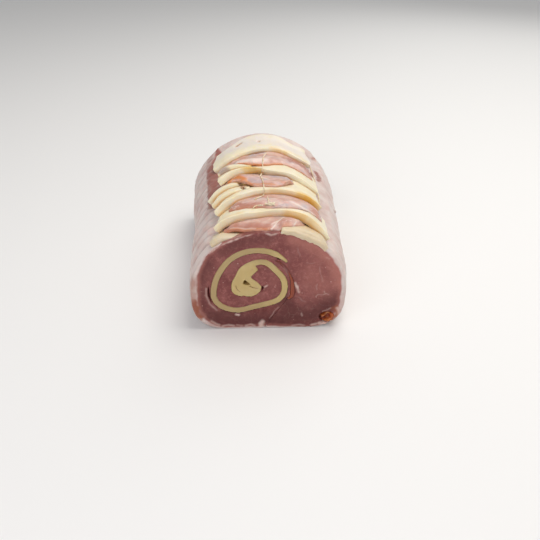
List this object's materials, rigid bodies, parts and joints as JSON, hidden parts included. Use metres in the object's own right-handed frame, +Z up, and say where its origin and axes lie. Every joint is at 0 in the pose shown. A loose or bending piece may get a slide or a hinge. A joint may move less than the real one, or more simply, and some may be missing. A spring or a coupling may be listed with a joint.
{
  "type": "stuffed pork roast",
  "caption": "Raw rolled pork loin roast with a spiral cheese and ham filling, overlapping cheese and ham slices on top, and tying twine.",
  "frame": {"origin": "middle of the underside of the roast's bounding box, on the surface it lies on", "axes": "+Y along the roast from its shown cut face to its back face, +X to the right seen from the cut face, +Z up"},
  "size_m": [0.118, 0.1772, 0.0901],
  "materials": {
    "raw_pork": "moist raw meat with a pinkish white fat cover, satin",
    "sliced_cheese": "pale yellow sliced cheese, waxy satin",
    "cooked_ham": "moist pink sliced ham with darker rims, satin",
    "cotton_twine": "thin damp cotton thread"
  },
  "bodies": {
    "root": {"pork_loin": "raw_pork", "cheese_spiral": "sliced_cheese", "ham_filling": "cooked_ham", "ham_scrap": "cooked_ham", "cheese_slice_1": "sliced_cheese", "cheese_slice_2": "sliced_cheese", "cheese_slice_3": "sliced_cheese", "cheese_slice_4": "sliced_cheese", "cheese_slice_5": "sliced_cheese", "cheese_slice_6": "sliced_cheese", "cheese_slice_7": "sliced_cheese", "cheese_slice_8": "sliced_cheese", "cheese_slice_9": "sliced_cheese", "ham_slice_1": "cooked_ham", "ham_slice_2": "cooked_ham", "ham_slice_3": "cooked_ham", "ham_slice_4": "cooked_ham", "twine_centre": "cotton_twine", "twine_right": "cotton_twine", "twine_short": "cotton_twine", "twine_tail": "cotton_twine", "twine_knot": "cotton_twine"}
  },
  "joints": []
}
